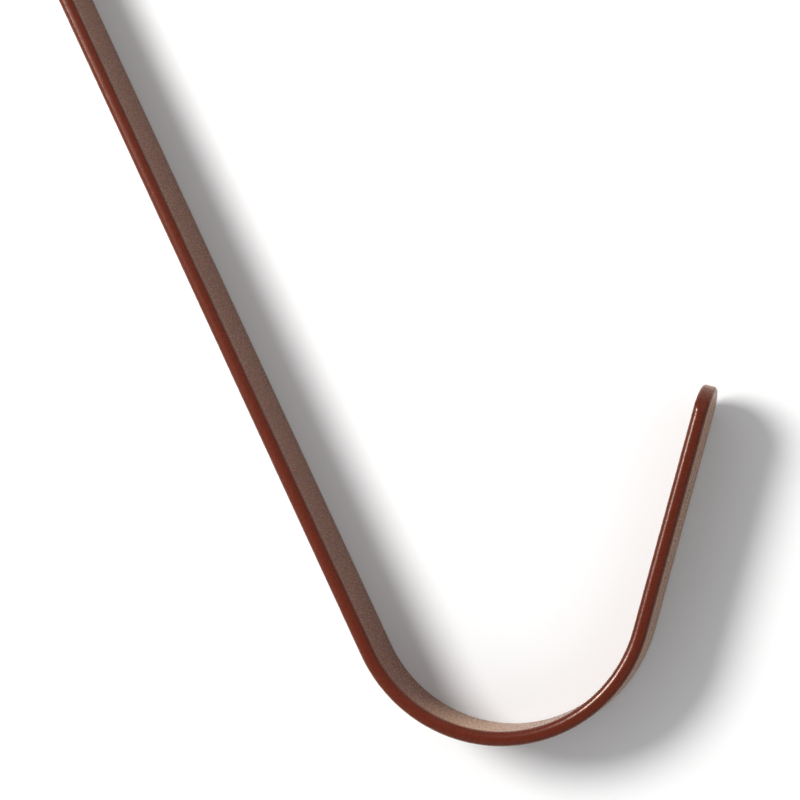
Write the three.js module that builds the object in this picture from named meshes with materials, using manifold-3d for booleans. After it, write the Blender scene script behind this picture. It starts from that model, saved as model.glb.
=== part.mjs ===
// A hook and ring game, laid out on its side: a hook bent from one flat steel bar, the two lag
// screws and washers that hold it to a post, the steel ring with its swivel eye, and the screw
// eye for the ceiling.
// Millimetres. X points away from the post, Y up the post, Z along the bar's width.
// The origin is on the post face of the flange, midway between the two screws.

import * as THREE from "three";
import * as BufferGeometryUtils from "three/addons/utils/BufferGeometryUtils.js";
import Module from "manifold-3d";

const wasm = await Module();
wasm.setup();

// ---- driving dimensions ----------------------------------------------------------------

const barThickness = 3.2;
const barWidth = 20;
const barEdgeRadius = 1.4;
const endArcRadius = 12;          // both ends of the bar are cut to this arc across its width

const flangeLength = 64;          // to the top of the end's arc
const flangeBendRadius = 10;      // to the middle of the bar
const flatMargin = 1;             // length over which the flange's flat faces blend into the bend
const armLength = 185;
const armAngle = THREE.MathUtils.degToRad(25.9);    // between the arm and the post
const throatRadius = 32;          // to the middle of the bar
const legLength = 54.8;           // to the top of the tip's arc
const legAngle = THREE.MathUtils.degToRad(15.2);    // between the leg and the post

const screwSpacing = 40;
const screwDiameter = 6;
const screwRootDiameter = 4.4;
const screwLength = 40;           // under the head
const screwPlainLength = 12;
const screwPointLength = 5;
const threadPitch = 2.5;
const headAcrossFlats = 10;
const headHeight = 4.2;
const headChamferAngle = THREE.MathUtils.degToRad(25);
const holeClearance = 0.4;        // round a screw, in the bar and in the washer
const washerDiameter = 15;
const washerThickness = 1.4;
const seatGap = 0.02;             // between faces that rest on each other

const ringInnerDiameter = 60;
const ringRodDiameter = 5;
const swivelShankDiameter = 2.2;
const swivelClearance = 0.25;     // round the shank, and at both ends of the hole
const swivelHeadDiameter = 4.4;
const swivelHeadThickness = 1.2;
const swivelWireDiameter = 2;
const swivelEyeDiameter = 7;      // inside the eye

const ceilingWireDiameter = 3;
const ceilingEyeDiameter = 10;    // inside the eye
const ceilingShankLength = 28;
const ceilingThreadLength = 18;
const ceilingRootDiameter = 2.2;
const ceilingPitch = 1.6;
const ceilingPointLength = 3;

const ringToFlange = 24;          // free space between the flange's head side and the ring
const ringToCeilingEye = 20;      // free space between the ring and the ceiling eye
const ringRise = 9;               // height of the ring's middle over the flange's middle

const roundSegments = 20;
const arcSegments = 24;
const endArcSegments = 72;

// ---- helpers ---------------------------------------------------------------------------

// Turns a closed three.js geometry into a solid, with shared vertices merged and
// collapsed triangles, such as those on a lathe's axis, left out.
function toSolid(geometry) {
  const bare = geometry.clone();
  bare.deleteAttribute("normal");
  bare.deleteAttribute("uv");
  const merged = BufferGeometryUtils.mergeVertices(bare, 1e-4);
  const index = merged.getIndex().array;
  const triangles = [];
  for (let i = 0; i < index.length; i += 3) {
    const [a, b, c] = [index[i], index[i + 1], index[i + 2]];
    if (a !== b && b !== c && c !== a) {
      triangles.push(a, b, c);
    }
  }
  return new wasm.Manifold(new wasm.Mesh({
    numProp: 3,
    vertProperties: new Float32Array(merged.getAttribute("position").array),
    triVerts: new Uint32Array(triangles),
  }));
}

function toGeometry(solid) {
  const mesh = solid.getMesh();
  const geometry = new THREE.BufferGeometry();
  geometry.setAttribute("position", new THREE.BufferAttribute(mesh.vertProperties, 3));
  geometry.setIndex(new THREE.BufferAttribute(mesh.triVerts, 1));
  geometry.computeVertexNormals();
  return geometry;
}

function makeMesh(name, solid, material) {
  const mesh = new THREE.Mesh(toGeometry(solid), material);
  mesh.name = name;
  return mesh;
}

// A lathe profile is a list of [radius, height] pairs, from the bottom up.
function latheSolid(profile, segments = roundSegments) {
  const points = profile.map(([radius, height]) => new THREE.Vector2(radius, height));
  return toSolid(new THREE.LatheGeometry(points, segments));
}

// Ridges of a thread between two heights, as [radius, height] pairs from the bottom up.
function threadProfile(rootRadius, crestRadius, bottom, top, pitch) {
  const turns = Math.floor((top - bottom) / pitch);
  const profile = [];
  for (let turn = 0; turn < turns; turn += 1) {
    profile.push([rootRadius, bottom + turn * pitch]);
    profile.push([crestRadius, bottom + (turn + 0.5) * pitch]);
  }
  profile.push([rootRadius, bottom + turns * pitch]);
  return profile;
}

// ---- the bar's centre line -------------------------------------------------------------

// A straight flange down the post, a bend out to the arm, the throat, and the leg.
function hookPath() {
  const armDirection = new THREE.Vector2(Math.sin(armAngle), -Math.cos(armAngle));
  const armInward = new THREE.Vector2(Math.cos(armAngle), Math.sin(armAngle));
  const legDirection = new THREE.Vector2(Math.sin(legAngle), Math.cos(legAngle));
  const legOutward = new THREE.Vector2(Math.cos(legAngle), -Math.sin(legAngle));
  const flangeTop = new THREE.Vector2(barThickness / 2, flangeLength / 2);
  const bendCentre = new THREE.Vector2(barThickness / 2 + flangeBendRadius, -flangeLength / 2);
  const armStart = bendCentre.clone().addScaledVector(armInward, -flangeBendRadius);
  const armEnd = armStart.clone().addScaledVector(armDirection, armLength);
  const throatCentre = armEnd.clone().addScaledVector(armInward, throatRadius);
  const legStart = throatCentre.clone().addScaledVector(legOutward, throatRadius);
  const tip = legStart.clone().addScaledVector(legDirection, legLength);
  return { flangeTop, bendCentre, throatCentre, legOutward, legDirection, tip };
}

// ---- sub-parts -------------------------------------------------------------------------

// One side of the outline, offset from the centre line: out is positive away from the bends'
// centres. The trim runs on past both ends, and is cut off afterwards.
function traceOuterSide(shape, path, offset, trim) {
  shape.moveTo(path.flangeTop.x - offset, path.flangeTop.y + trim);
  shape.lineTo(path.flangeTop.x - offset, path.bendCentre.y + flatMargin);
  shape.absarc(path.bendCentre.x, path.bendCentre.y, flangeBendRadius + offset,
    Math.PI, Math.PI + armAngle, false);
  shape.absarc(path.throatCentre.x, path.throatCentre.y, throatRadius + offset,
    Math.PI + armAngle, 2 * Math.PI - legAngle, false);
  const end = path.tip.clone().addScaledVector(path.legOutward, offset);
  end.addScaledVector(path.legDirection, trim);
  shape.lineTo(end.x, end.y);
}

function traceInnerSideBack(shape, path, offset, trim) {
  const start = path.tip.clone().addScaledVector(path.legOutward, -offset);
  start.addScaledVector(path.legDirection, trim);
  shape.lineTo(start.x, start.y);
  shape.absarc(path.throatCentre.x, path.throatCentre.y, throatRadius - offset,
    2 * Math.PI - legAngle, Math.PI + armAngle, true);
  shape.absarc(path.bendCentre.x, path.bendCentre.y, flangeBendRadius - offset,
    Math.PI + armAngle, Math.PI, true);
  shape.lineTo(path.flangeTop.x + offset, path.bendCentre.y + flatMargin);
  shape.lineTo(path.flangeTop.x + offset, path.flangeTop.y + trim);
  shape.closePath();
}

// What has to go beyond an end of the bar, so that the end is an arc across its width: the arc's
// top is at the point, on the side that direction points to.
function endCutter(point, direction) {
  const size = 4 * barWidth;
  const block = new THREE.BoxGeometry(size, size, size);
  block.translate(size / 2, 0, 0);
  const round = new THREE.CylinderGeometry(endArcRadius, endArcRadius, 2 * size, endArcSegments);
  const waste = toGeometry(toSolid(block).subtract(toSolid(round)));
  waste.rotateZ(Math.atan2(direction.y, direction.x));
  const centre = point.clone().addScaledVector(direction, -endArcRadius);
  waste.translate(centre.x, centre.y, 0);
  return toSolid(waste);
}

function screwHole(height) {
  const radius = screwDiameter / 2 + holeClearance;
  const drill = new THREE.CylinderGeometry(radius, radius, 6 * barThickness, roundSegments);
  drill.rotateZ(Math.PI / 2);
  drill.translate(0, height, 0);
  return toSolid(drill);
}

function hookBar(path) {
  const trim = 2 * barEdgeRadius;
  const outline = new THREE.Shape();
  traceOuterSide(outline, path, barThickness / 2, trim);
  traceInnerSideBack(outline, path, barThickness / 2, trim);
  const blank = new THREE.ExtrudeGeometry(outline, {
    depth: barWidth - 2 * barEdgeRadius,
    curveSegments: arcSegments,
    bevelEnabled: true,
    bevelThickness: barEdgeRadius,
    bevelSize: barEdgeRadius,
    bevelOffset: -barEdgeRadius,
    bevelSegments: 3,
  });
  blank.translate(0, 0, barEdgeRadius - barWidth / 2);
  return toSolid(blank)
    .subtract(endCutter(path.flangeTop, new THREE.Vector2(0, 1)))
    .subtract(endCutter(path.tip, path.legDirection))
    .subtract(screwHole(screwSpacing / 2))
    .subtract(screwHole(-screwSpacing / 2));
}

// The head's underside is at height 0, and the shank runs down from it.
function lagScrew() {
  const crest = screwDiameter / 2;
  const root = screwRootDiameter / 2;
  const threadTop = -screwPlainLength;
  const threadBottom = screwPointLength - screwLength;
  const shank = latheSolid([
    [0, -screwLength],
    ...threadProfile(root, crest, threadBottom, threadTop, threadPitch),
    [crest, threadTop],
    [crest, headHeight / 2],
    [0, headHeight / 2],
  ]);
  const cornerRadius = headAcrossFlats / 2 / Math.cos(Math.PI / 6);
  const prism = new THREE.CylinderGeometry(cornerRadius, cornerRadius, headHeight, 6);
  prism.translate(0, headHeight / 2, 0);
  const crownRadius = headAcrossFlats / 2 * 0.94;
  const chamferDrop = (cornerRadius - crownRadius) * Math.tan(headChamferAngle);
  const crown = latheSolid([
    [0, 0],
    [cornerRadius + holeClearance, 0],
    [cornerRadius + holeClearance, headHeight - chamferDrop],
    [crownRadius, headHeight],
    [0, headHeight],
  ]);
  return toSolid(prism).intersect(crown).add(shank);
}

function washer() {
  const inner = screwDiameter / 2 + holeClearance;
  const outer = washerDiameter / 2;
  return latheSolid([
    [inner, 0], [outer, 0], [outer, washerThickness], [inner, washerThickness], [inner, 0],
  ]);
}

// A round ring of rod in the XY plane, drilled through the rod at its top for the swivel.
function gameRing() {
  const rodRadius = ringRodDiameter / 2;
  const middleRadius = ringInnerDiameter / 2 + rodRadius;
  const rod = toSolid(new THREE.TorusGeometry(middleRadius, rodRadius, 10, 48));
  const drillRadius = swivelShankDiameter / 2 + swivelClearance;
  const drill = new THREE.CylinderGeometry(drillRadius, drillRadius, 4 * rodRadius, 16);
  drill.translate(0, middleRadius, 0);
  return rod.subtract(toSolid(drill));
}

// A shank with a peened head inside the ring, and an eye outside it. Height 0 is the middle
// of the ring's rod.
function swivelEye() {
  const headTop = -ringRodDiameter / 2 - swivelClearance;
  const collarBottom = ringRodDiameter / 2 + swivelClearance;
  const collarTop = collarBottom + swivelWireDiameter / 2;
  const shankRadius = swivelShankDiameter / 2;
  const headRadius = swivelHeadDiameter / 2;
  const collarRadius = swivelHeadDiameter / 2;
  const shank = latheSolid([
    [0, headTop - swivelHeadThickness],
    [headRadius * 0.7, headTop - swivelHeadThickness],
    [headRadius, headTop - swivelHeadThickness / 2],
    [headRadius, headTop],
    [shankRadius, headTop],
    [shankRadius, collarBottom],
    [collarRadius, collarBottom],
    [collarRadius, collarTop],
    [0, collarTop],
  ], 16);
  const loopRadius = (swivelEyeDiameter + swivelWireDiameter) / 2;
  const loop = new THREE.TorusGeometry(loopRadius, swivelWireDiameter / 2, 8, 20);
  loop.translate(0, collarTop + loopRadius, 0);
  return shank.add(toSolid(loop));
}

// A closed wire eye on a threaded shank. Height 0 is the eye's middle.
function ceilingEye() {
  const loopRadius = (ceilingEyeDiameter + ceilingWireDiameter) / 2;
  const wireRadius = ceilingWireDiameter / 2;
  const shankTop = -loopRadius;
  const shankBottom = shankTop - ceilingShankLength;
  const threadTop = shankBottom + ceilingThreadLength;
  const shank = latheSolid([
    [0, shankBottom],
    ...threadProfile(ceilingRootDiameter / 2, wireRadius, shankBottom + ceilingPointLength,
      threadTop, ceilingPitch),
    [wireRadius, threadTop],
    [wireRadius, shankTop],
    [0, shankTop],
  ], 16);
  const loop = new THREE.TorusGeometry(loopRadius, wireRadius, 10, 28);
  return shank.add(toSolid(loop));
}

// ---- assembly --------------------------------------------------------------------------

const coatedSteel = new THREE.MeshStandardMaterial({
  color: 0x6e3426, roughness: 0.42, metalness: 0.1,
});
const zincSteel = new THREE.MeshStandardMaterial({
  color: 0x9a9da0, roughness: 0.45, metalness: 0.9,
});
const brightSteel = new THREE.MeshStandardMaterial({
  color: 0xb9babc, roughness: 0.25, metalness: 1.0,
});

const floorLevel = -barWidth / 2;
const hook = new THREE.Group();
hook.add(makeMesh("hook_bar", hookBar(hookPath()), coatedSteel));

const fasteners = [["upper", screwSpacing / 2], ["lower", -screwSpacing / 2]];
for (const [place, height] of fasteners) {
  const disc = makeMesh(`washer_${place}`, washer(), zincSteel);
  disc.rotation.z = -Math.PI / 2;
  disc.position.set(barThickness + seatGap, height, 0);
  const screw = makeMesh(`lag_screw_${place}`, lagScrew(), zincSteel);
  screw.rotation.z = -Math.PI / 2;
  screw.position.set(barThickness + washerThickness + 2 * seatGap, height, 0);
  hook.add(disc, screw);
}

const ringOuterRadius = ringInnerDiameter / 2 + ringRodDiameter;
const headReach = barThickness + washerThickness + headHeight;
const ringX = headReach + ringToFlange + ringOuterRadius;
const ringGroup = new THREE.Group();
ringGroup.position.set(ringX, ringRise, floorLevel + ringRodDiameter / 2);
ringGroup.add(makeMesh("game_ring", gameRing(), brightSteel));
const swivel = makeMesh("swivel_eye", swivelEye(), brightSteel);
swivel.position.y = (ringInnerDiameter + ringRodDiameter) / 2;
ringGroup.add(swivel);

const ceilingEyeReach = ceilingEyeDiameter / 2 + ceilingWireDiameter;
const screwEye = makeMesh("ceiling_screw_eye", ceilingEye(), zincSteel);
screwEye.position.set(
  ringX + ringOuterRadius + ringToCeilingEye + ceilingEyeReach,
  ringRise + ceilingShankLength / 2,
  floorLevel + ceilingWireDiameter / 2,
);

const game = new THREE.Group();
game.add(hook, ringGroup, screwEye);

export default game;
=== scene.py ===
"""A hook and ring game lying on a pale floor: a powder-coated flat-bar hook with its fixings,
the steel ring with its swivel eye, and the screw eye for the ceiling.

Lengths are in metres. X points away from the post, Y up the post, Z up from the floor.
"""

import math

import bmesh
import bpy
from mathutils import Matrix, Quaternion, Vector


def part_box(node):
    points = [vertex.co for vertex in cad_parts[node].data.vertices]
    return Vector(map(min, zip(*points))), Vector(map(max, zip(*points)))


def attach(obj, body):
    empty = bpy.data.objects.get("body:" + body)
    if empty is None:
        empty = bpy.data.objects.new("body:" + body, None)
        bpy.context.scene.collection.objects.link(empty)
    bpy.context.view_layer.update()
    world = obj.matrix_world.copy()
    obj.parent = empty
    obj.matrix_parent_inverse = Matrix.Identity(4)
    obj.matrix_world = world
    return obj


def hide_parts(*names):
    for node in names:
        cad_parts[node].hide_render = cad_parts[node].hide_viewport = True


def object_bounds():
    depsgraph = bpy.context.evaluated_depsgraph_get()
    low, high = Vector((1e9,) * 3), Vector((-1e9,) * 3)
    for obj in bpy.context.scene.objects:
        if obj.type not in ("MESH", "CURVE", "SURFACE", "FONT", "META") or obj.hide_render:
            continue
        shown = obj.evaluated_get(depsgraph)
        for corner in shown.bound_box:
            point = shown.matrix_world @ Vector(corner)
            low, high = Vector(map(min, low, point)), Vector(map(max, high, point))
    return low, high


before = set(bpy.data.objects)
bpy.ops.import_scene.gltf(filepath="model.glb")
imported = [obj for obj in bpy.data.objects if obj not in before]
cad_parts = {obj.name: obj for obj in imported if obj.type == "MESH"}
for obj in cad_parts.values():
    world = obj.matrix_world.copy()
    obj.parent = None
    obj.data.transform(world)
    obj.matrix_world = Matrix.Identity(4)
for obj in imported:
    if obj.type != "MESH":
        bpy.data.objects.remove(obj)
cad_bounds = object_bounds()

# ---- sizes of the real pieces, the same as the frame's --------------------------------

BAR_THICKNESS = 0.0032
BAR_WIDTH = 0.020
BAR_EDGE_RADIUS = 0.0014
END_ARC_RADIUS = 0.012
END_RIM_RADIUS = 0.0008
FLANGE_LENGTH = 0.064
FLANGE_BEND_RADIUS = 0.010
ARM_LENGTH = 0.185
ARM_ANGLE = math.radians(25.9)
THROAT_RADIUS = 0.032
LEG_LENGTH = 0.0548
LEG_ANGLE = math.radians(15.2)

SCREW_DIAMETER = 0.006
SCREW_ROOT_DIAMETER = 0.0044
SCREW_LENGTH = 0.040
SCREW_PLAIN_LENGTH = 0.012
SCREW_POINT_LENGTH = 0.005
THREAD_PITCH = 0.0025
THREAD_SHOULDER = 0.0006
HEAD_ACROSS_FLATS = 0.010
HEAD_HEIGHT = 0.0042
HEAD_CHAMFER = math.radians(25)
HEAD_STEP = 0.00015        # the washer face stands this far proud of the hexagon
HEAD_DISH = 0.0001         # and the top is dished by this much
HOLE_CLEARANCE = 0.0004
WASHER_DIAMETER = 0.015
WASHER_THICKNESS = 0.0014
WASHER_RIM = 0.0002

RING_ROD_DIAMETER = 0.005
RING_INNER_DIAMETER = 0.060
SWIVEL_SHANK_DIAMETER = 0.0022
SWIVEL_CLEARANCE = 0.00025
SWIVEL_HEAD_DIAMETER = 0.0044
SWIVEL_HEAD_THICKNESS = 0.0012
SWIVEL_COLLAR_EASING = 0.00015
SWIVEL_WIRE_DIAMETER = 0.002
SWIVEL_EYE_DIAMETER = 0.007

CEILING_WIRE_DIAMETER = 0.003
CEILING_EYE_DIAMETER = 0.010
CEILING_EYE_GAP = math.radians(8)
CEILING_SHANK_LENGTH = 0.028
CEILING_THREAD_LENGTH = 0.018
CEILING_ROOT_DIAMETER = 0.0022
CEILING_PITCH = 0.0016
CEILING_POINT_LENGTH = 0.003

FLOOR_LEVEL = -BAR_WIDTH / 2

# ---- how finely the meshes are cut -----------------------------------------------------

SUPPORT = 0.0002           # distance of the extra loops that keep flat faces flat
SHARP_ANGLE = math.radians(35)
EDGE_STEPS = 10            # round one of the bar's long edges
FACE_STEPS = 16            # across the bar's flat face
RIM_STEPS = 5
HEAD_POINTS = 96
THREAD_STEPS = 12          # rows of vertices in one pitch
DRILL_REACH = 0.01         # to each side of the face that is drilled

# Turns Z, the axis of a turned piece, onto X, the screws' axis.
ACROSS = Matrix(((0, 0, 1, 0), (1, 0, 0, 0), (0, 1, 0, 0), (0, 0, 0, 1)))
# Turns Z onto Y, which lays a turned piece on the floor.
ALONG_Y = Matrix.Rotation(-math.pi / 2, 4, "X")
# Turns Z onto -Y, which stands a flat loop on its edge.
STOOD_UP = Matrix.Rotation(math.pi / 2, 4, "X")
UPWARD = Vector((0, 0, 1))


# ---- mesh helpers ----------------------------------------------------------------------

def new_object(name, data):
    thing = bpy.data.objects.new(name, data)
    bpy.context.scene.collection.objects.link(thing)
    return thing


def object_from(name, bm):
    """A smooth-shaded object, with sharp edges where its faces meet at a steep angle."""
    bmesh.ops.recalc_face_normals(bm, faces=bm.faces)
    if bm.calc_volume(signed=True) < 0:
        bmesh.ops.reverse_faces(bm, faces=bm.faces)
    for face in bm.faces:
        face.smooth = True
    for edge in bm.edges:
        if len(edge.link_faces) == 2 and edge.calc_face_angle(0.0) > SHARP_ANGLE:
            edge.smooth = False
    mesh = bpy.data.meshes.new(name)
    bm.to_mesh(mesh)
    bm.free()
    return new_object(name, mesh)


def combine(target, tools, operation):
    """Joins tools to target, or cuts them from it, for good. What comes out is one closed mesh:
    double points and slivers go, and a triangle that the cut left open is filled."""
    for tool in tools:
        modifier = target.modifiers.new(tool.name, "BOOLEAN")
        modifier.object = tool
        modifier.operation = operation
        modifier.solver = "EXACT"
    graph = bpy.context.evaluated_depsgraph_get()
    mesh = bpy.data.meshes.new_from_object(target.evaluated_get(graph))
    name = target.name
    bm = bmesh.new()
    bm.from_mesh(mesh)
    for old in (target, *tools):
        bpy.data.objects.remove(old)
    same_place = 1e-7
    bmesh.ops.remove_doubles(bm, verts=bm.verts, dist=same_place)
    bmesh.ops.dissolve_degenerate(bm, edges=bm.edges, dist=same_place)
    open_edges = [edge for edge in bm.edges if edge.is_boundary]
    bmesh.ops.holes_fill(bm, edges=open_edges, sides=4)
    return object_from(name, bm)


def even_turns(count):
    """Angles spread evenly round a full turn."""
    return [2 * math.pi * i / count for i in range(count)]


def circle(bm, radius, height, segments):
    """A row of vertices round Z."""
    return [
        bm.verts.new((radius * math.cos(a), radius * math.sin(a), height))
        for a in even_turns(segments)
    ]


def bridge(bm, lower, upper):
    """Quads between two closed rows of vertices."""
    count = len(lower)
    for i in range(count):
        j = (i + 1) % count
        bm.faces.new((lower[i], lower[j], upper[j], upper[i]))


def fan(bm, tip, row):
    """Triangles from one vertex to a closed row."""
    for i in range(len(row)):
        bm.faces.new((tip, row[i], row[(i + 1) % len(row)]))


def lathe_bmesh(profile, segments):
    """A solid turned round Z from (radius, height) pairs. A zero radius closes an end, and a
    profile that ends where it starts makes a ring."""
    bm = bmesh.new()
    rows = []
    for radius, height in profile:
        if radius == 0:
            rows.append([bm.verts.new((0, 0, height))])
        else:
            rows.append(circle(bm, radius, height, segments))
    for lower, upper in zip(rows, rows[1:]):
        if len(lower) == 1:
            fan(bm, lower[0], upper)
        elif len(upper) == 1:
            fan(bm, upper[0], lower)
        else:
            bridge(bm, lower, upper)
    bmesh.ops.remove_doubles(bm, verts=bm.verts, dist=1e-8)
    return bm


def cylinder_bmesh(radius, reach, segments):
    """A plain cylinder along Z, as far as reach above and below the middle."""
    return lathe_bmesh([(0, -reach), (radius, -reach), (radius, reach), (0, reach)], segments)


def sweep_bmesh(stations, radius, sides, closed=False):
    """A round wire through (point, sideways, up) stations."""
    bm = bmesh.new()
    rows = []
    for point, sideways, up in stations:
        around = [math.cos(a) * sideways + math.sin(a) * up for a in even_turns(sides)]
        rows.append([bm.verts.new(point + radius * outward) for outward in around])
    for lower, upper in zip(rows, rows[1:]):
        bridge(bm, lower, upper)
    if closed:
        bridge(bm, rows[-1], rows[0])
    else:
        bm.faces.new(rows[0])
        bm.faces.new(rows[-1])
    return bm


def torus_bmesh(middle_radius, wire_radius, segments, sides):
    stations = []
    for angle in even_turns(segments):
        outward = Vector((math.cos(angle), math.sin(angle), 0))
        stations.append((middle_radius * outward, outward, UPWARD))
    return sweep_bmesh(stations, wire_radius, sides, closed=True)


def finish_piece(piece, body, node, material):
    piece.data.materials.append(material)
    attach(piece, body)
    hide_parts(node)


# ---- material helpers ------------------------------------------------------------------

def new_material(name):
    material = bpy.data.materials.new(name)
    material.use_nodes = True
    return material, material.node_tree, material.node_tree.nodes["Principled BSDF"]


def noise(tree, scale, detail, stretch=(1, 1, 1)):
    """Noise in the piece's own coordinates, in metres. A scale of 1000 is about 1 mm."""
    coordinates = tree.nodes.new("ShaderNodeTexCoord")
    mapping = tree.nodes.new("ShaderNodeMapping")
    mapping.inputs["Scale"].default_value = stretch
    texture = tree.nodes.new("ShaderNodeTexNoise")
    texture.inputs["Scale"].default_value = scale
    texture.inputs["Detail"].default_value = detail
    tree.links.new(coordinates.outputs["Object"], mapping.inputs["Vector"])
    tree.links.new(mapping.outputs["Vector"], texture.inputs["Vector"])
    return texture.outputs["Fac"]


def spread(tree, value, low=0.0, high=1.0):
    """Maps a noise value, which mostly lies from 0.3 to 0.7, onto the range from low to high."""
    node = tree.nodes.new("ShaderNodeMapRange")
    node.inputs["From Min"].default_value = 0.3
    node.inputs["From Max"].default_value = 0.7
    node.inputs["To Min"].default_value = low
    node.inputs["To Max"].default_value = high
    tree.links.new(value, node.inputs["Value"])
    return node.outputs["Result"]


def two_colours(tree, factor, first, second):
    node = tree.nodes.new("ShaderNodeMix")
    node.data_type = "RGBA"
    node.inputs["A"].default_value = (*first, 1)
    node.inputs["B"].default_value = (*second, 1)
    tree.links.new(factor, node.inputs["Factor"])
    return node.outputs["Result"]


def bump(tree, height, distance, below=None):
    node = tree.nodes.new("ShaderNodeBump")
    node.inputs["Distance"].default_value = distance
    node.inputs["Strength"].default_value = 1.0
    tree.links.new(height, node.inputs["Height"])
    if below is not None:
        tree.links.new(below, node.inputs["Normal"])
    return node.outputs["Normal"]


# ---- materials -------------------------------------------------------------------------

def powder_coat():
    """Red-brown powder coat: a fine grain over a slight orange peel, a little glossy. The weak
    warm sheen lightens the sides that are seen at a low angle."""
    material, tree, shader = new_material("powder_coat")
    link = tree.links.new
    shader.inputs["IOR"].default_value = 1.28
    shader.inputs["Specular Tint"].default_value = (1.0, 0.86, 0.72, 1)
    shader.inputs["Sheen Weight"].default_value = 0.32
    shader.inputs["Sheen Roughness"].default_value = 0.35
    shader.inputs["Sheen Tint"].default_value = (1.0, 0.60, 0.28, 1)
    tone = spread(tree, noise(tree, scale=900, detail=4))
    colour = two_colours(tree, tone, (0.083, 0.0124, 0.0055), (0.101, 0.0164, 0.0080))
    link(colour, shader.inputs["Base Color"])
    grain = noise(tree, scale=3200, detail=2)
    link(spread(tree, grain, 0.22, 0.30), shader.inputs["Roughness"])
    peel = bump(tree, noise(tree, scale=700, detail=2), distance=0.00004)
    link(bump(tree, grain, distance=0.000012, below=peel), shader.inputs["Normal"])
    return material


def zinc_plate():
    """Zinc-plated steel: a satin, slightly cloudy metal."""
    material, tree, shader = new_material("zinc_plate")
    link = tree.links.new
    shader.inputs["Metallic"].default_value = 1.0
    cloud = spread(tree, noise(tree, scale=260, detail=5))
    colour = two_colours(tree, cloud, (0.42, 0.43, 0.45), (0.55, 0.55, 0.54))
    link(colour, shader.inputs["Base Color"])
    satin = spread(tree, noise(tree, scale=1400, detail=4), 0.28, 0.44)
    link(satin, shader.inputs["Roughness"])
    grain = noise(tree, scale=4000, detail=2)
    link(bump(tree, grain, distance=0.000001), shader.inputs["Normal"])
    return material


def nickel_plate():
    """Bright nickel plate with fine rub marks."""
    material, tree, shader = new_material("nickel_plate")
    link = tree.links.new
    shader.inputs["Metallic"].default_value = 1.0
    tone = spread(tree, noise(tree, scale=120, detail=3))
    colour = two_colours(tree, tone, (0.58, 0.555, 0.51), (0.64, 0.62, 0.58))
    link(colour, shader.inputs["Base Color"])
    rubs = noise(tree, scale=2500, detail=5, stretch=(1, 1, 5))
    link(spread(tree, rubs, 0.13, 0.20), shader.inputs["Roughness"])
    return material


def floor_material():
    """Plain matt white."""
    material, tree, shader = new_material("floor")
    shader.inputs["Roughness"].default_value = 0.9
    shader.inputs["Specular IOR Level"].default_value = 0.0
    tone = spread(tree, noise(tree, scale=40, detail=2))
    colour = two_colours(tree, tone, (0.800, 0.798, 0.785), (0.810, 0.808, 0.795))
    tree.links.new(colour, shader.inputs["Base Color"])
    return material


# ---- the bar ---------------------------------------------------------------------------

def directions(angle):
    """The bar's outward direction and its running direction where the outward direction is at
    this angle from +X."""
    outward = Vector((math.cos(angle), math.sin(angle), 0))
    return outward, Vector((-outward.y, outward.x, 0))


def end_setback(height):
    """How far the bar's arc-shaped end lies behind the end's top, at a height across the width."""
    return END_ARC_RADIUS - math.sqrt(END_ARC_RADIUS ** 2 - height ** 2)


class BarPath:
    """The bar's centre line, from the top of the flange to the tip."""

    def __init__(self):
        self.flange_turn = math.pi
        self.arm_turn = math.pi + ARM_ANGLE
        self.leg_turn = 2 * math.pi - LEG_ANGLE
        self.flange_top = Vector((BAR_THICKNESS / 2, FLANGE_LENGTH / 2, 0))
        self.bend_centre = Vector((BAR_THICKNESS / 2 + FLANGE_BEND_RADIUS, -FLANGE_LENGTH / 2, 0))
        arm_outward, arm_direction = directions(self.arm_turn)
        leg_outward, leg_direction = directions(self.leg_turn)
        self.arm_start = self.bend_centre + FLANGE_BEND_RADIUS * arm_outward
        arm_end = self.arm_start + ARM_LENGTH * arm_direction
        self.throat_centre = arm_end - THROAT_RADIUS * arm_outward
        self.leg_start = self.throat_centre + THROAT_RADIUS * leg_outward
        self.tip = self.leg_start + LEG_LENGTH * leg_direction

    def stations(self):
        """(point, outward, direction) from just inside the flange's end to just inside the tip."""
        clear = end_setback(BAR_WIDTH / 2) + 2 * END_RIM_RADIUS
        flange = (clear, FLANGE_LENGTH - SUPPORT)
        arm = (SUPPORT, ARM_LENGTH - SUPPORT)
        leg = (SUPPORT, LEG_LENGTH - clear)
        return [
            *self.straight(self.flange_top, self.flange_turn, *flange, steps=6),
            *self.round(self.bend_centre, FLANGE_BEND_RADIUS, self.flange_turn, self.arm_turn, steps=16),
            *self.straight(self.arm_start, self.arm_turn, *arm, steps=12),
            *self.round(self.throat_centre, THROAT_RADIUS, self.arm_turn, self.leg_turn, steps=96),
            *self.straight(self.leg_start, self.leg_turn, *leg, steps=5),
        ]

    @staticmethod
    def straight(start, turn, first, last, steps):
        outward, direction = directions(turn)
        lengths = [first + (last - first) * i / steps for i in range(steps + 1)]
        return [(start + length * direction, outward, direction) for length in lengths]

    @staticmethod
    def round(centre, radius, first, last, steps):
        rows = []
        for i in range(steps + 1):
            outward, direction = directions(first + (last - first) * i / steps)
            rows.append((centre + radius * outward, outward, direction))
        return rows


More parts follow.
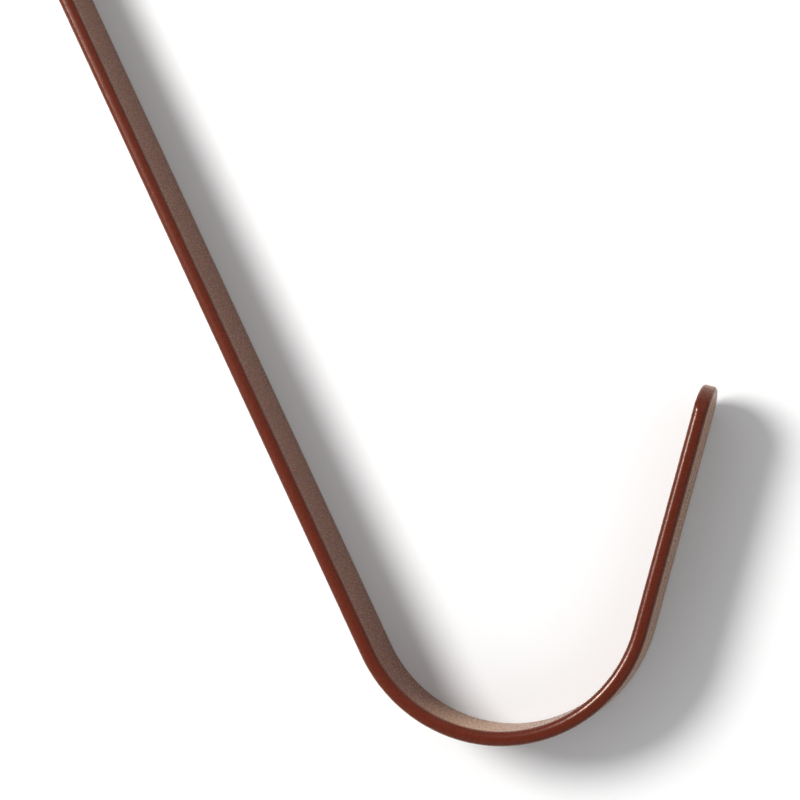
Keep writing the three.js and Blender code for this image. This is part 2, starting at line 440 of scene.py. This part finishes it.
def bar_half_section(inset=0.0):
    """(sideways, height) points down the bar's outer side, from its upper edge to its lower. The
    first point and the last lie on the flat of the narrow sides."""
    radius = BAR_EDGE_RADIUS - inset
    corner_x = BAR_THICKNESS / 2 - BAR_EDGE_RADIUS
    corner_z = BAR_WIDTH / 2 - BAR_EDGE_RADIUS
    quarter = [math.pi / 2 * (1 - i / EDGE_STEPS) for i in range(EDGE_STEPS + 1)]
    upper = [(corner_x / 2, BAR_WIDTH / 2 - inset)]
    upper += [(corner_x + radius * math.cos(a), corner_z + radius * math.sin(a)) for a in quarter]
    side_x = BAR_THICKNESS / 2 - inset
    reach = corner_z - SUPPORT
    flat = [(side_x, reach * (1 - 2 * i / FACE_STEPS)) for i in range(FACE_STEPS + 1)]
    lower = [(x, -z) for x, z in reversed(upper)]
    return upper + flat + lower


def bar_row(bm, point, outward, direction, inset=0.0, setback=None):
    """One closed row of vertices round the bar. At an end, direction points into the bar, and
    setback is the distance back from the end's top."""
    half = bar_half_section(inset)
    row = []
    for x, z in half + [(-x, z) for x, z in reversed(half)]:
        place = point + x * outward + Vector((0, 0, z))
        if setback is not None:
            place += (end_setback(z) + setback) * direction
        row.append(bm.verts.new(place))
    return row


def end_rows(bm, point, outward, inward):
    """The rounded rim of one end, from its face to its sides. inward points into the bar."""
    rim = END_RIM_RADIUS
    steps = [(rim + SUPPORT / 2, 0.0)]
    for i in range(RIM_STEPS + 1):
        turn = math.pi / 2 * i / RIM_STEPS
        steps.append((rim * (1 - math.sin(turn)), rim * (1 - math.cos(turn))))
    steps.append((0.0, rim + SUPPORT))
    return [bar_row(bm, point, outward, inward, inset, back) for inset, back in steps]


def end_face(bm, row):
    """Closes one end. The first two points from each narrow side's middle lie on one line with
    their mirror images, so every face there takes in the third, which is off that line."""
    half = len(row) // 2
    mirror = row[::-1]
    for side, inner in ((0, 2), (half - 1, half - 3)):
        between = (side + inner) // 2
        bm.faces.new((row[side], row[between], row[inner]))
        bm.faces.new((mirror[side], mirror[between], mirror[inner]))
        bm.faces.new((row[side], row[inner], mirror[inner], mirror[side]))
    for i in range(2, half - 3):
        bm.faces.new((row[i], row[i + 1], mirror[i + 1], mirror[i]))


def screw_drill(node):
    """A cylinder through the flange where this screw goes."""
    low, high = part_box(node)
    height = (low[1] + high[1]) / 2
    drill = cylinder_bmesh(SCREW_DIAMETER / 2 + HOLE_CLEARANCE, DRILL_REACH, segments=64)
    drill.transform(Matrix.Translation((0, height, 0)) @ ACROSS)
    return object_from("drill_" + node, drill)


def coated_bar(path, material):
    bm = bmesh.new()
    flange_outward, flange_direction = directions(path.flange_turn)
    leg_outward, leg_direction = directions(path.leg_turn)
    rows = end_rows(bm, path.flange_top, flange_outward, flange_direction)
    rows += [bar_row(bm, *station) for station in path.stations()]
    rows += reversed(end_rows(bm, path.tip, leg_outward, -leg_direction))
    for lower, upper in zip(rows, rows[1:]):
        bridge(bm, lower, upper)
    end_face(bm, rows[0])
    end_face(bm, rows[-1])
    bar = object_from("coated_bar", bm)
    drills = [screw_drill(node) for node in ("lag_screw_upper", "lag_screw_lower")]
    whole = combine(bar, drills, "DIFFERENCE")
    finish_piece(whole, "hook", "hook_bar", material)


# ---- screws and washers ----------------------------------------------------------------

def axis_point(node, x):
    """The point on a screw's or a washer's axis at this x."""
    low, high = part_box(node)
    return Vector((x, (low[1] + high[1]) / 2, (low[2] + high[2]) / 2))


def thread_crest(turns):
    """1 on the thread's crest and 0 between the crests, as the height in pitches goes up."""
    flank = 0.27
    return max(0.0, 1 - abs(turns % 1 - 0.5) / flank)


def threaded_shank(root, crest, pitch, bottom, top, point_length, plain_top, around):
    """A pointed wood-screw shank up Z, with a helical thread from its point to top, and plain
    above it as far as plain_top. The thread runs out over its last pitch."""
    bm = bmesh.new()
    point_bluntness = 0.8
    count = int((top - bottom) / pitch * THREAD_STEPS)
    rows = []
    for k in range(1, count + 1):
        height = bottom + (top - bottom) * k / count
        taper = min(1.0, ((height - bottom) / point_length) ** point_bluntness)
        run_out = min(1.0, (top - height) / pitch)
        row = []
        for i, angle in enumerate(even_turns(around)):
            ridge = thread_crest((height - bottom) / pitch - i / around)
            radius = taper * (root + (crest - root) * ridge * run_out)
            row.append(bm.verts.new((radius * math.cos(angle), radius * math.sin(angle), height)))
        rows.append(row)
    rows.append(circle(bm, crest, top + THREAD_SHOULDER, around))
    rows.append(circle(bm, crest, plain_top, around))
    fan(bm, bm.verts.new((0, 0, bottom)), rows[0])
    for lower, upper in zip(rows, rows[1:]):
        bridge(bm, lower, upper)
    bm.faces.new(rows[-1])
    return bm


def hexagon_head():
    """A hexagon head with a chamfered top and a slightly proud washer face below."""
    bm = bmesh.new()
    apothem = HEAD_ACROSS_FLATS / 2
    under = apothem * 0.95
    crown = apothem * 0.94
    dish = crown * 0.72
    flats = math.pi / 3
    columns = []
    for angle in even_turns(HEAD_POINTS):
        from_flat = (angle + flats / 2) % flats - flats / 2
        corner = apothem / math.cos(from_flat)
        side_top = HEAD_HEIGHT - (corner - crown) * math.tan(HEAD_CHAMFER)
        profile = (
            (under, 0.0), (under, HEAD_STEP), (corner, HEAD_STEP), (corner, side_top),
            (crown, HEAD_HEIGHT), (dish, HEAD_HEIGHT - HEAD_DISH),
        )
        across, up = math.cos(angle), math.sin(angle)
        columns.append([bm.verts.new((r * across, r * up, height)) for r, height in profile])
    rows = list(zip(*columns))
    for lower, upper in zip(rows, rows[1:]):
        bridge(bm, lower, upper)
    bm.faces.new(rows[0])
    bm.faces.new(rows[-1])
    return bm


def screw(place, material):
    node = "lag_screw_" + place
    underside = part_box(node)[1][0] - HEAD_HEIGHT
    onto_hook = Matrix.Translation(axis_point(node, underside)) @ ACROSS
    head = hexagon_head()
    head.transform(onto_hook)
    shank = threaded_shank(
        root=SCREW_ROOT_DIAMETER / 2, crest=SCREW_DIAMETER / 2, pitch=THREAD_PITCH,
        bottom=-SCREW_LENGTH, top=-SCREW_PLAIN_LENGTH, point_length=SCREW_POINT_LENGTH,
        plain_top=HEAD_HEIGHT / 2, around=48,
    )
    shank.transform(onto_hook)
    tools = [object_from("shank_" + place, shank)]
    whole = combine(object_from("screw_" + place, head), tools, "UNION")
    finish_piece(whole, "hook", node, material)


def disc(place, material):
    """A flat washer with eased rims."""
    node = "washer_" + place
    inner = SCREW_DIAMETER / 2 + HOLE_CLEARANCE
    outer = WASHER_DIAMETER / 2
    top = WASHER_THICKNESS
    rim = WASHER_RIM
    profile = [
        (inner, rim / 2), (inner + rim / 2, 0), (outer - rim, 0), (outer, rim),
        (outer, top - rim), (outer - rim, top), (inner + rim, top), (inner, top - rim),
        (inner, rim / 2),
    ]
    bm = lathe_bmesh(profile, segments=96)
    inner_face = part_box(node)[0][0]
    bm.transform(Matrix.Translation(axis_point(node, inner_face)) @ ACROSS)
    finish_piece(object_from("disc_" + place, bm), "hook", node, material)


# ---- ring and swivel -------------------------------------------------------------------

RING_MIDDLE_RADIUS = (RING_INNER_DIAMETER + RING_ROD_DIAMETER) / 2


def ring_centre():
    low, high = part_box("game_ring")
    outer = RING_INNER_DIAMETER / 2 + RING_ROD_DIAMETER
    return Vector(((low[0] + high[0]) / 2, low[1] + outer, FLOOR_LEVEL + RING_ROD_DIAMETER / 2))


def game_ring(material):
    torus = torus_bmesh(RING_MIDDLE_RADIUS, RING_ROD_DIAMETER / 2, segments=192, sides=40)
    ring = object_from("steel_ring", torus)
    radius = SWIVEL_SHANK_DIAMETER / 2 + SWIVEL_CLEARANCE
    drill = cylinder_bmesh(radius, RING_ROD_DIAMETER, segments=40)
    drill.transform(Matrix.Translation((0, RING_MIDDLE_RADIUS, 0)) @ ALONG_Y)
    whole = combine(ring, [object_from("drill_ring", drill)], "DIFFERENCE")
    whole.data.transform(Matrix.Translation(ring_centre()))
    finish_piece(whole, "ring", "game_ring", material)


def swivel_profile():
    """The shank with its peened head below the ring's rod and its collar above. Height 0 is the
    middle of the rod."""
    head_top = -RING_ROD_DIAMETER / 2 - SWIVEL_CLEARANCE
    head_bottom = head_top - SWIVEL_HEAD_THICKNESS
    collar_bottom = RING_ROD_DIAMETER / 2 + SWIVEL_CLEARANCE
    collar_top = collar_bottom + SWIVEL_WIRE_DIAMETER / 2
    head = SWIVEL_HEAD_DIAMETER / 2
    shank = SWIVEL_SHANK_DIAMETER / 2
    ease = SWIVEL_COLLAR_EASING
    dome_steps = 8
    dome = []
    for i in range(1, dome_steps + 1):
        turn = math.pi / 2 * i / dome_steps
        dome.append((head * math.sin(turn), head_top - SWIVEL_HEAD_THICKNESS * math.cos(turn)))
    profile = [
        (0, head_bottom), *dome, (head, head_top), (shank, head_top), (shank, collar_bottom),
        (head - ease, collar_bottom), (head, collar_bottom + ease),
        (head, collar_top - ease), (head - 3 * ease, collar_top), (0, collar_top),
    ]
    return profile, collar_top


def swivel(material):
    """A shank through the ring, peened over inside it, with a wire eye outside. Z is up the
    shank until the piece is laid down in its place."""
    profile, collar_top = swivel_profile()
    body = object_from("swivel_body", lathe_bmesh(profile, segments=48))
    loop = (SWIVEL_EYE_DIAMETER + SWIVEL_WIRE_DIAMETER) / 2
    wire = torus_bmesh(loop, SWIVEL_WIRE_DIAMETER / 2, segments=64, sides=24)
    wire.transform(Matrix.Translation((0, 0, collar_top + loop)) @ STOOD_UP)
    whole = combine(body, [object_from("swivel_wire", wire)], "UNION")
    place = ring_centre() + Vector((0, RING_MIDDLE_RADIUS, 0))
    whole.data.transform(Matrix.Translation(place) @ ALONG_Y)
    whole.name = "swivel"
    finish_piece(whole, "swivel", "swivel_eye", material)


# ---- ceiling screw eye -----------------------------------------------------------------

def ceiling_loop(centre, loop, wire):
    """A wire bent round from the shank until it nearly touches it again."""
    segments = 72
    start = CEILING_EYE_GAP - math.pi / 2
    sweep = 2 * math.pi - CEILING_EYE_GAP
    stations = []
    for i in range(segments + 1):
        angle = start + sweep * i / segments
        outward = Vector((math.cos(angle), math.sin(angle), 0))
        stations.append((centre + loop * outward, outward, UPWARD))
    return sweep_bmesh(stations, wire, sides=24)


def ceiling_eye(material):
    """An eye on a threaded shank that points down -Y."""
    low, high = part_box("ceiling_screw_eye")
    wire = CEILING_WIRE_DIAMETER / 2
    loop = (CEILING_EYE_DIAMETER + CEILING_WIRE_DIAMETER) / 2
    centre = Vector(((low[0] + high[0]) / 2, high[1] - loop - wire, FLOOR_LEVEL + wire))
    eye = object_from("ceiling_eye_loop", ceiling_loop(centre, loop, wire))
    bottom = -loop - CEILING_SHANK_LENGTH
    shank = threaded_shank(
        root=CEILING_ROOT_DIAMETER / 2, crest=wire, pitch=CEILING_PITCH,
        bottom=bottom, top=bottom + CEILING_THREAD_LENGTH, point_length=CEILING_POINT_LENGTH,
        plain_top=-loop, around=36,
    )
    shank.transform(Matrix.Translation(centre) @ ALONG_Y)
    whole = combine(eye, [object_from("ceiling_shank", shank)], "UNION")
    whole.name = "screw_eye"
    finish_piece(whole, "ceiling_eye", "ceiling_screw_eye", material)


# ---- floor, light and camera -----------------------------------------------------------

def add_floor():
    bm = bmesh.new()
    bmesh.ops.create_grid(bm, x_segments=8, y_segments=8, size=3.0)
    floor = object_from("floor", bm)
    floor.location = (0, 0, cad_bounds[0][2])
    floor.data.materials.append(floor_material())


def add_lamp(name, target, to_lamp, width, height, energy):
    data = bpy.data.lights.new(name, "AREA")
    data.shape = "ELLIPSE"
    data.size = width
    data.size_y = height
    data.energy = energy
    lamp = new_object(name, data)
    lamp.location = target + to_lamp
    lamp.rotation_euler = to_lamp.to_track_quat("Z", "Y").to_euler()
    return lamp


def add_lights(target):
    """Soft light from the upper left of the picture. One lamp lights the surfaces, and the other
    is farther off and is what the gloss mirrors."""
    to_key = 0.9 * Vector((-0.607, 0.316, 0.729))
    key = add_lamp("key", target, to_key, width=0.40, height=0.30, energy=9.3)
    key.visible_glossy = False
    to_mirrored = 3.0 * Vector((-0.64, 0.36, 0.679))
    mirrored = add_lamp("mirrored", target, to_mirrored, width=1.0, height=1.0, energy=265.0)
    mirrored.visible_diffuse = False


def add_room():
    """A pale room, dimmer low down at the walls and on the ceiling above the camera. Each step
    is a height in the sky, from 0 at the horizon to 1 overhead, and a brightness."""
    steps = ((0.15, 0.33), (0.5, 0.86), (0.86, 0.68), (0.96, 0.10))
    tint = Vector((0.98, 0.99, 1.02))
    world = bpy.data.worlds.new("room")
    world.use_nodes = True
    tree = world.node_tree
    direction = tree.nodes.new("ShaderNodeTexCoord")
    split = tree.nodes.new("ShaderNodeSeparateXYZ")
    ramp = tree.nodes.new("ShaderNodeValToRGB")
    elements = ramp.color_ramp.elements
    while len(elements) < len(steps):
        elements.new(0.5)
    for element, (height, level) in zip(elements, steps):
        element.position = height
        element.color = (*(level * tint), 1)
    tree.links.new(direction.outputs["Generated"], split.inputs["Vector"])
    tree.links.new(split.outputs["Z"], ramp.inputs["Fac"])
    tree.links.new(ramp.outputs["Color"], tree.nodes["Background"].inputs["Color"])
    bpy.context.scene.world = world


def add_camera(path):
    """Looks almost straight down, leaning over from the tip's side of the hook."""
    lean = Vector((math.radians(-2.38), math.radians(-12.18), 0))
    throat_in_view = Vector((0.02293, -0.04153, -0.48461))
    to_camera = Quaternion(lean.normalized(), lean.length)
    data = bpy.data.cameras.new("camera")
    data.sensor_width = 36
    data.lens = 99
    data.clip_start = 0.01
    camera = new_object("camera", data)
    camera.rotation_mode = "QUATERNION"
    camera.rotation_quaternion = to_camera.inverted()
    camera.location = path.throat_centre - to_camera.inverted() @ throat_in_view
    bpy.context.scene.camera = camera


# ---- the scene -------------------------------------------------------------------------

bar_path = BarPath()
add_camera(bar_path)
add_floor()
add_lights(bar_path.throat_centre)
add_room()
bpy.context.scene.view_settings.view_transform = "Standard"

zinc = zinc_plate()
nickel = nickel_plate()
coated_bar(bar_path, powder_coat())
for place in ("upper", "lower"):
    disc(place, zinc)
    screw(place, zinc)
game_ring(nickel)
swivel(nickel)
ceiling_eye(zinc)
